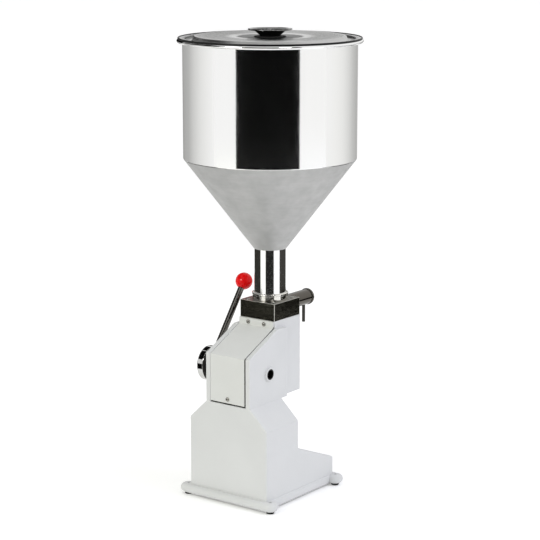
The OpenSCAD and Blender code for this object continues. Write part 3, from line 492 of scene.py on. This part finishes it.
# White castings and cover, with places in mm from the model
LUG_X, LUG_YS, LUG_R, LUG_HOLE_R = 79, (-65, 105), 12.5, 3.5
FLANGE_X, FLANGE_LOW, FLANGE_TOP = 76.5, 3.3, 17
FLANGE_IN_ENDS, FLANGE_IN_SIDES = 6.4, 2.6  # how deep its rounded edge goes in
TOWER_X, TOE_Y, TOWER_Y, REAR_Y = 73.6, -67, 25.4, 107
TOE_LOW, TOE_HIGH, SIDE_TOP, BASE_TOP = 45, 81, 125.5, 155.5
COLUMN_X, CHEEK_X, BOSS_X = 33.5, 41.8, 45.3
CHEEK_Y, CHEEK_FALL_Y, CHEEK_LOW_TOP, CHEEK_TOP = 11, 37, 264.5, 266.5
SHAFT_Y, SHAFT_Z = 59, 200
INSIDE_BOSS, ROUND_BOSS = 9, 12  # distances from the shaft: between the boss's bore and rim, and past it
CHEEK_DROP = 1.8  # how much lower the cheeks' flat top ends than in the CAD
COVER_OFF_X, COVER_UP = 0.6, 1.3  # how far two of the cover's edges stand off their CAD place
PAINTED_SHADE_LINE_TOP = 267  # painted shade: the dark line painted on the cover's edge ends here


def near(value, *targets, within=0.4):
    """Whether a value lies near one of the targets, in mm."""
    return any(abs(value - t) < within for t in targets)


def from_shaft(m):
    """How far a point lies from the cross shaft's axis, in mm."""
    return (Vector((SHAFT_Y, SHAFT_Z)) - Vector((m.y, m.z))).length


def flange_ring(bm, end_in, side_in, z, steps=20):
    """A closed row of vertices round the flange and its four lugs, set in at the ends and at the sides."""
    reach = LUG_R - end_in
    across = FLANGE_X - side_in - LUG_X
    joint = math.degrees(math.atan2(math.sqrt(reach ** 2 - across ** 2), across))
    half = arc((LUG_X, LUG_YS[0]), reach, -90, joint, steps)
    half += arc((LUG_X, LUG_YS[1]), reach, -joint, 90, steps)
    half += [Vector((-p.x, p.y)) for p in reversed(half)]
    return [bm.verts.new((p.x * MM, p.y * MM, z * MM)) for p in half]


def tower_corner(m, d):
    """The base's outer edges: those along its sides, and the upright ones at its toe, front and back."""
    on_a_side = near(abs(m.x), TOWER_X) or near(m.y, TOE_Y, TOWER_Y, REAR_Y)
    return FLANGE_TOP + 0.5 < m.z < BASE_TOP - 0.5 and abs(m.x) > 30 and on_a_side


def tower_shoulder(m, d):
    """The edges across the base, where the toe meets the tower and where the shoulders begin."""
    level = near(m.z, TOE_HIGH, SIDE_TOP) and near(m.y, TOWER_Y, REAR_Y)
    return m.z > FLANGE_TOP + 0.5 and abs(d.x) > 0.9 and level


def base_shell():
    """The base casting, with the CAD's square flange turned to the photograph's half-round one."""
    obj = cad_copy("base_casting", "base_casting_shell", PAINT, [
        (4.5, lambda m, d: near(m.y, TOE_Y) and near(m.z, TOE_LOW)),
        (2.2, tower_corner),
        (2.2, tower_shoulder),
    ])
    bm = bmesh.new()
    bm.from_mesh(obj.data)
    lugs = [Vector((x, y)) for x in (-LUG_X, LUG_X) for y in LUG_YS]
    flat = [f for f in bm.faces if max(v.co.z for v in f.verts) < (FLANGE_TOP + 0.1) * MM
            and max(min((v.co.xy / MM - c).length for c in lugs) for v in f.verts) > LUG_HOLE_R]
    bmesh.ops.delete(bm, geom=flat, context="FACES")
    rows = []
    for degrees in range(-90, 91, 15):
        turn = math.radians(degrees)
        inset = 1 - math.cos(turn)
        mid, rise = (FLANGE_TOP + FLANGE_LOW) / 2, (FLANGE_TOP - FLANGE_LOW) / 2
        height = mid + rise * math.sin(turn)
        rows.append(flange_ring(bm, FLANGE_IN_ENDS * inset, FLANGE_IN_SIDES * inset, height))
    for low, high in zip(rows, rows[1:]):
        for k in range(len(low)):
            j = (k + 1) % len(low)
            bm.faces.new([low[k], low[j], high[j], high[k]])
    for z in (FLANGE_LOW, FLANGE_TOP):
        rim = [e for e in bm.edges
               if e.is_boundary and all(abs(v.co.z - z * MM) < ON_LEVEL for v in e.verts)]
        bmesh.ops.triangle_fill(bm, use_beauty=True, edges=rim)
    bmesh.ops.recalc_face_normals(bm, faces=bm.faces)
    bm.to_mesh(obj.data)
    bm.free()
    obj.data.shade_smooth()
    obj.data.set_sharp_from_angle(angle=SHARP)


def housing_edge(m, d):
    """The housing's outer upright edges, those of its cheeks and the top ones of its column."""
    on_column = near(abs(m.x), COLUMN_X) and (m.y < COLUMN_X - 0.5 or m.z > CHEEK_LOW_TOP - 2.5)
    on_end = near(m.y, -COLUMN_X, REAR_Y) and abs(m.x) > COLUMN_X - 0.5
    return m.z > BASE_TOP + 0.5 and (near(abs(m.x), CHEEK_X) or on_column or on_end)


def housing_shell():
    """The gear housing, with its cheeks a little lower at the top and painted shade on strips behind the
    cover.
    """
    housing = cad_copy("gear_housing", "gear_housing_shell", PAINT, [
        (0.9, lambda m, d: near(abs(m.x), BOSS_X) and from_shaft(m) > INSIDE_BOSS),
        (0.4, lambda m, d: near(abs(m.x), BOSS_X)),
        (0.8, lambda m, d: near(abs(m.x), CHEEK_X) and from_shaft(m) < ROUND_BOSS),
        (3.5, lambda m, d: near(m.y, -COLUMN_X) and near(m.z, BASE_TOP)),
        (3.0, lambda m, d: near(m.y, CHEEK_Y) and near(m.z, BASE_TOP, CHEEK_LOW_TOP)),
        (1.6, housing_edge),
    ])
    for v in housing.data.vertices:
        if near(v.co.z / MM, CHEEK_TOP) and near(v.co.y / MM, CHEEK_FALL_Y):
            v.co.z -= CHEEK_DROP * MM
    # painted shade: the housing's faces behind the cover are coloured near-black
    housing.data.materials.append(PAINTED_GAP_SHADE)
    for face in housing.data.polygons:
        behind_cover = 103 < face.center.y / MM < 106 and abs(face.center.x) < COLUMN_X * MM
        if face.normal.y > 0.9 and behind_cover:
            face.material_index = 1


def cover_sheet():
    """The rear cover, set off the cheeks as in the photograph, with painted shade on its edge up to 267 mm.
    """
    cover = cad_copy("rear_cover", "rear_cover_sheet", COVER, [(0.2, lambda m, d: True)], 2)
    halves = bmesh.new()
    halves.from_mesh(cover.data)
    bmesh.ops.bisect_plane(halves, geom=halves.verts[:] + halves.edges[:] + halves.faces[:],
                           plane_co=(0, 0, PAINTED_SHADE_LINE_TOP * MM), plane_no=(0, 0, 1))
    halves.to_mesh(cover.data)
    halves.free()
    for v in cover.data.vertices:
        at_the_edge = v.co.x < -30 * MM
        under_the_flange = 261 * MM < v.co.z < 264 * MM and v.co.y < 36 * MM
        if at_the_edge:
            v.co.x += COVER_OFF_X * MM
        if under_the_flange:
            v.co.z += COVER_UP * MM
    # painted shade: the cover's edge faces below the line's top are coloured near-black
    cover.data.materials.append(PAINTED_GAP_SHADE)
    for face in cover.data.polygons:
        if face.center.z < (PAINTED_SHADE_LINE_TOP - 1) * MM and face.normal.x < -0.9:
            face.material_index = 1


def block_body():
    """The valve block, with a painted highlight on its rounded edges and a duller milled top."""
    # painted highlight: the bevels get a pale metal for the light that the edges catch
    block = cad_copy("valve_block", "valve_block_body", BLOCK, [
        (0.7, lambda m, d: abs(m.x) > 32 and abs(m.y) > 32),
        (0.4, lambda m, d: abs(m.x) > 32.5 or abs(m.y) > 32.5),
    ], 3, PAINTED_HIGHLIGHT_EDGE)
    block.data.materials.append(BLOCK_TOP)
    for face in block.data.polygons:
        on_top = face.normal.z > 0.9 and face.center.z > 301 * MM
        face.material_index = 2 if on_top else 0


base_shell()
housing_shell()
cover_sheet()
block_body()
for node, look in (("cover_screws", SCREW), ("block_screws", ZINC), ("dose_knob", PLASTIC),
                   ("dose_retainer", ZINC), ("retainer_screws", OXIDE), ("foot_screws", ZINC)):
    cad_copy(node, node + "_finished", look)

# Hopper, with profiles as (radius, height, corner radius) in mm
SEAM_BEND, SEAM_R = (127.6, 521.36), 4  # the bend in which the barrel meets the cone
rolled_rim = arc((137.3, 697), 2.7, 146, 450, 22)
lathe("hopper_barrel_sheet", "hopper_barrel", MIRROR,
      arc(SEAM_BEND, SEAM_R, -16, 0, 4) + [Vector((131.6, 523))]
      + rounded([(131.6, 694), (131.6, 698.5, 2), (135.06, 698.5)])[:-1] + rolled_rim
      + rounded([(137.3, 699.7), (130.4, 699.7, 1.2), (130.4, 640)])[1:-1] + [Vector((130.4, 520.6))],
      segments=192, closed=True)
lathe("hopper_cone_sheet", "hopper_cone", SATIN,
      [Vector((23.66, 383)), Vector((23.66, 381)), Vector((25.16, 381))]
      + arc(SEAM_BEND, SEAM_R, -37.4, -17, 5) + [Vector((129.2, 520.4))], segments=192, closed=True)
lathe("hopper_neck_tube", "hopper_neck", NECK,
      rounded([(22, 298.2), (23.6, 298.2), (23.6, 302.5), (24.6, 303.5), (24.6, 382), (22, 382)]),
      segments=128, closed=True)
lathe("neck_lock_collar", "neck_lock_ring", COLLAR,
      rounded([(24.65, 302), (27.2, 302, 0.3), (27.2, 309.4, 0.2), (28, 309.7, 0.4), (28, 312.6, 0.9),
               (25.6, 312.6, 0.3), (25.2, 311.8, 0.2), (24.65, 311.8)]), segments=128, closed=True)

# Lid and knob
lathe("lid_pressing", "lid_shell", LID,
      rounded([(2.1, 701.3), (84.3, 701.3, 2), (86.6, 702.2, 2), (112.8, 702.2, 1), (116, 695.9, 1),
               (129, 695.9, 1), (129, 699.9, 0.8), (136.4, 699.9), (136.4, 701), (134.6, 701, 0.5),
               (128.2, 700.9, 1), (127.6, 697.4, 1), (117.4, 697.0, 1), (113.9, 704.2, 1),
               (88.2, 704.4, 2), (85.5, 704, 1.5), (26, 702.2, 4), (2.1, 702.2)], 4),
      segments=192, closed=True)
# painted shade: the folded hem is coloured near-black for the shade in its fold
lathe("lid_folded_hem", "lid_shell", PAINTED_SHADE_HEM,
      rounded([(137.2, 699.8), (138.5, 699.8, 0.5), (138.5, 702.2, 0.8), (136.2, 702.2, 0.6),
               (136.2, 699.8, 0.3), (137.2, 699.8)], 5)[:-1],
      segments=192, closed=True)
lathe("knob_base_washer", "lid_washer", RUBBER,
      rounded([(2.2, 702.2), (24, 702.2, 0.2), (24, 703.6, 0.5), (2.2, 703.6)]), segments=96, closed=True)
lathe("knob_turning", "lid_knob", KNOB,
      rounded([(0, 703.6), (15.5, 703.6, 0.4), (16.2, 705.4, 1.5), (25, 712.5, 2), (32.6, 712.8, 0.6),
               (33.75, 713.6, 0.5), (33.2, 714.4, 0.35), (31.4, 714.4, 0.5), (29.5, 713.5, 1.5),
               (0, 713.3)], 5),
      segments=144)

# Lever: the hub turns on the shaft, and the rod leans towards the outlet as in the photograph
LEAN = math.radians(36.3)
LEVER_AXIS = (0, -math.sin(LEAN), math.cos(LEAN))
HUB_FOOT = (0, SHAFT_Y, SHAFT_Z)
ROD_FOOT = (70.5, SHAFT_Y, SHAFT_Z)
HUB_NECK_END = 65.4  # painted shade: the hub is coloured dark up to here, beside the housing
hub = lathe("lever_hub_turning", "lever_hub", CHROME,
            rounded([(6.55, 45.8), (18, 45.8, 0.8), (18, 62.5, 1.2), (25, 63, 2), (27.5, 65.5, 1.2),
                     (27.5, 75.5, 2), (25, 78, 1.5), (17.4, 78, 0.5), (16.4, 77, 0.4), (0, 77)]),
            along((1, 0, 0), HUB_FOOT), segments=128)
# painted shade: the neck's faces beside the housing take the dark look
hub.data.materials.append(HUB_NECK_PAINTED_SHADE)
for face in hub.data.polygons:
    if face.center.x < HUB_NECK_END * MM:
        face.material_index = 1
lathe("lever_rod_bar", "lever_rod", BAR,
      rounded([(0, 12), (4, 12, 0.6), (4, 27.6), (5, 27.6, 0.4), (5, 130.3, 0.6), (3, 130.3), (3, 141),
               (0, 141)]),
      along(LEVER_AXIS, ROD_FOOT), segments=64)
lathe("lever_ball_grip", "lever_ball", RED,
      [Vector((3.1, 130.5))] + arc((0, 143), 13.5, -67.8, 90, 40),
      along(LEVER_AXIS, ROD_FOOT), segments=96)

# Outlet
OUTLET_FOOT = (0, 0, 287.4)
NOZZLE_FOOT = (0, -88.25, 279.2)
lathe("outlet_tube_bar", "outlet_tube", PIPE,
      rounded([(8, 32.75), (12, 32.75, 0.2), (12, 94.25, 0.5), (8, 94.25)]),
      along((0, -1, 0), OUTLET_FOOT), segments=96, closed=True)
lathe("outlet_end_cap_turning", "outlet_end_cap", PIPE,
      rounded([(0, 91), (7.9, 91), (7.9, 95.25), (13, 95.25, 0.8), (13, 100.25, 2), (9.4, 100.25, 0.8),
               (8.6, 99.5, 0.6), (0, 99.3)]),
      along((0, -1, 0), OUTLET_FOOT), segments=96)
lathe("nozzle_tube", "nozzle", THIN_PIPE,
      rounded([(1.8, 0), (2.5, 0), (2.5, 31.2, 0.3), (1.8, 31.2)]),
      along((0, 0, -1), NOZZLE_FOOT), segments=48, closed=True)


# Feet
def moulded_feet(segments=48):
    """Four rubber feet in one mesh, each with a slight draft and rounded rims."""
    feet = bmesh.new()
    turns = [2 * math.pi * k / segments for k in range(segments)]
    for x in (-LUG_X, LUG_X):
        for y in LUG_YS:
            rows = rounded([(4, 0), (5.9, 0, 0.4), (6.5, 3.3, 0.3), (4, 3.3)], 3)
            rings = [[feet.verts.new(((x + p.x * math.cos(a)) * MM, (y + p.x * math.sin(a)) * MM, p.y * MM))
                      for a in turns] for p in rows]
            for low, high in zip(rings, rings[1:] + rings[:1]):
                for k in range(segments):
                    j = (k + 1) % segments
                    feet.faces.new([low[k], low[j], high[j], high[k]])
    bmesh.ops.recalc_face_normals(feet, faces=feet.faces)
    mesh = bpy.data.meshes.new("rubber_feet_moulded")
    feet.to_mesh(mesh)
    feet.free()
    place(mesh, "rubber_feet_moulded", "rubber_feet", RUBBER)


moulded_feet()

# Camera, solved from the photograph, in metres
CAMERA_PLACE = (-1.6416, 2.1896, 0.9191)
CAMERA_SIDE = (-0.6, 0.8, 0)  # level, from the machine towards the camera
LENS_MM, SENSOR_MM = 121.43, 36
right = Vector((-0.8, -0.6, 0)).normalized()
away = Vector((0.587, -0.783, -0.205)).normalized()
up = right.cross(away).normalized()
camera_data = bpy.data.cameras.new("camera")
camera_data.sensor_width = SENSOR_MM
camera_data.lens = LENS_MM
camera_data.clip_end = 100
camera = bpy.data.objects.new("camera", camera_data)
facing = Matrix((right, up, -away)).transposed().to_4x4()
camera.matrix_world = Matrix.Translation(CAMERA_PLACE) @ facing
bpy.context.scene.collection.objects.link(camera)
bpy.context.scene.camera = camera


# Stage
def emitter(name, colour, strength):
    """A material that only glows, for cards that stand for the studio's dark and bright parts."""
    mat = bpy.data.materials.new(name)
    mat.use_nodes = True
    tree = mat.node_tree
    tree.nodes.clear()
    glow = add(tree, "ShaderNodeEmission", Color=linear(colour), Strength=strength)
    add(tree, "ShaderNodeOutputMaterial", [("Surface", glow.outputs[0])])
    return mat


def stage_mesh(name, verts, faces, mat):
    """A mesh that belongs to the studio and not to the object."""
    mesh = bpy.data.meshes.new(name)
    mesh.from_pydata(verts, [], faces)
    mesh.materials.append(mat)
    obj = bpy.data.objects.new(name, mesh)
    bpy.context.scene.collection.objects.link(obj)
    return obj


def card(name, start, end, distance, low, high, colour, strength=1.0, corner=(0.0, 0.0)):
    """A curved card that only reflections see.

    Angles are in degrees from the camera's side and rise towards the camera's right, counterclockwise seen
    from above. Distance and heights are in metres, and corner is how far the lower corners are rounded,
    in degrees along and metres up."""
    steps = 48  # enough for its edge to show as a curve
    verts = []
    for k in range(steps + 1):
        turn = start + (end - start) * k / steps
        side = min(turn - start, end - turn)
        lift = 0.0
        if corner[0] and side < corner[0]:
            lift = corner[1] * (1 - math.sqrt(max(0.0, 1 - (1 - side / corner[0]) ** 2)))
        flat = Vector(CAMERA_SIDE) * math.cos(math.radians(turn)) + right * math.sin(math.radians(turn))
        verts += [flat * distance + Vector((0, 0, low + lift)), flat * distance + Vector((0, 0, high))]
    faces = [(2 * k, 2 * k + 2, 2 * k + 3, 2 * k + 1) for k in range(steps)]
    obj = stage_mesh(name, verts, faces, emitter(name, colour, strength))
    obj.visible_camera = False
    obj.visible_diffuse = False
    obj.visible_shadow = False
    obj.visible_transmission = False
    return obj


def fading_card(name, start, end, distance, low, high, greys):
    """A card whose grey changes along its arc, as a white studio darkens away from its windows.

    Each grey is (angle, hex colour), with angles as in card. They meet in a hard edge at 180 degrees."""
    obj = card(name, start, end, distance, low, high, "#FFFFFF")
    tree = obj.data.materials[0].node_tree
    coords = add(tree, "ShaderNodeTexCoord")
    turned = add(tree, "ShaderNodeMapping", [("Vector", coords.outputs["Object"])], vector_type="TEXTURE")
    turned.inputs["Rotation"].default_value = (0, 0, math.atan2(CAMERA_SIDE[1], CAMERA_SIDE[0]))
    sweep = add(tree, "ShaderNodeTexGradient", [("Vector", turned.outputs["Vector"])], gradient_type="RADIAL")
    stops = sorted(((turn / 360 + 0.5) % 1, colour) for turn, colour in greys)
    glow = next(n for n in tree.nodes if n.bl_idname == "ShaderNodeEmission")
    grade_colour(tree, sweep.outputs["Fac"], glow.inputs["Color"], stops)


def seen_or_mirrored(tree):
    """1 for what the camera, a gloss or a glass sees, and 0 for the light that falls on the object."""
    ray = add(tree, "ShaderNodeLightPath")
    seen = ray.outputs["Is Camera Ray"]
    for kind in ("Is Glossy Ray", "Is Transmission Ray"):
        either = add(tree, "ShaderNodeMath", [(0, seen), (1, ray.outputs[kind])], operation="MAXIMUM")
        seen = either.outputs[0]
    return seen


FLOOR_HALF = 30  # metres
FLOOR_LIFT = 0.24  # takes the lit floor up to the photograph's white
WORLD_LIGHT = 0.785  # the plain level at which the world lights the object

floor_mat, floor_tree, floor_shader = surface("pale_floor", "#FAFAFA", 0.8)
tint(floor_tree, grain(floor_tree, 400.0), floor_shader, "#F9F9F9", "#FBFBFB")
floor_corners = [(FLOOR_HALF * x, FLOOR_HALF * y, 0) for x, y in ((-1, -1), (1, -1), (1, 1), (-1, 1))]
stage_mesh("floor", floor_corners, [(0, 1, 2, 3)], floor_mat)
lift = add(floor_tree, "ShaderNodeMath", [(0, seen_or_mirrored(floor_tree))], operation="MULTIPLY")
lift.inputs[1].default_value = FLOOR_LIFT
floor_tree.links.new(lift.outputs[0], floor_shader.inputs["Emission Strength"])
floor_shader.inputs["Emission Color"].default_value = WHITE

# Cards that the steel mirrors: name, first and last angle, distance, lower and upper edge, colour, glow
card("dark_card_behind_camera", -43.6, 37.4, 2.0, 0.12, 2.6, "#0A0A0A", corner=(7, 0.03))
for row in (("dark_card_low_front", -32, 26, 1.2, 0.0, 0.2, "#262625"),
            ("dark_card_low_left", -150, -72, 1.2, 0.0, 0.22, "#32312D"),
            ("dark_card_low_right", 71, 150, 1.2, 0.0, 0.22, "#403F3C"),
            ("dark_card_block_left", -95, -58, 1.0, 0.0, 0.098, "#1C1A16"),
            ("dark_card_block_right", 88, 124, 1.0, 0.0, 0.1, "#1C1A16"),
            ("dark_card_hub", -95, -50, 0.5, 0.0, 0.19, "#080808"),
            ("dark_card_high_left", -125, -62, 1.2, 0.66, 2.2, "#0C0C0C"),
            ("dark_card_high_behind", -168, -130, 1.2, 0.62, 2.2, "#0C0C0C")):
    card(*row)
fading_card("fading_card_round_the_sides", 76, 284, 2.4, 0.0, 0.82, [
    (76, "#FFFFFF"), (94, "#FAFAF9"), (108, "#F2F2F1"), (123, "#E0E0DF"), (135, "#CBCBCA"),
    (152, "#B8B8B7"), (180, "#8A8A89"), (196, "#A0A09F"), (213, "#B3B3B2"), (228, "#BABAB9"),
    (242, "#D4D4D3"), (254, "#E5E5E4"), (266, "#F2F2F1"), (284, "#FFFFFF")])
card("bright_window_card", 11, 25, 1.9, 1.2, 1.5, "#FFFFFF", 14)
card("bright_lamp_card", -54, -34, 1.9, 1.0, 1.4, "#FFFFFF", 14)
card("dark_card_behind_the_lid", 174, 186, 2.3, 0.84, 0.93, "#2A2A29")

# World and lamps
world = bpy.data.worlds.new("white_studio")
world.use_nodes = True
world_tree = world.node_tree
background = world_tree.nodes["Background"]
background.inputs["Color"].default_value = WHITE
level = add(world_tree, "ShaderNodeMapRange", [("Value", seen_or_mirrored(world_tree))],
            To_Min=WORLD_LIGHT, To_Max=1.0)
world_tree.links.new(level.outputs["Result"], background.inputs["Strength"])
bpy.context.scene.world = world

LAMPS_AIM = Vector((0, 0, 0.35))


def area_light(name, place_at, size, power, colour):
    """A square lamp, in metres and watts, that shows in no reflection."""
    data = bpy.data.lights.new(name, "AREA")
    data.shape = "SQUARE"
    data.size = size
    data.energy = power
    data.color = linear(colour)[:3]
    obj = bpy.data.objects.new(name, data)
    obj.location = place_at
    obj.rotation_euler = (LAMPS_AIM - Vector(place_at)).to_track_quat("-Z", "Y").to_euler()
    obj.visible_glossy = False
    bpy.context.scene.collection.objects.link(obj)


area_light("key_light", (-2.6, -0.6, 2.6), 1.6, 25, "#E6EAFF")
area_light("fill_light", (0.6, 3.0, 1.8), 1.6, 19, "#FCFFD8")

bpy.context.scene.view_settings.view_transform = "Standard"
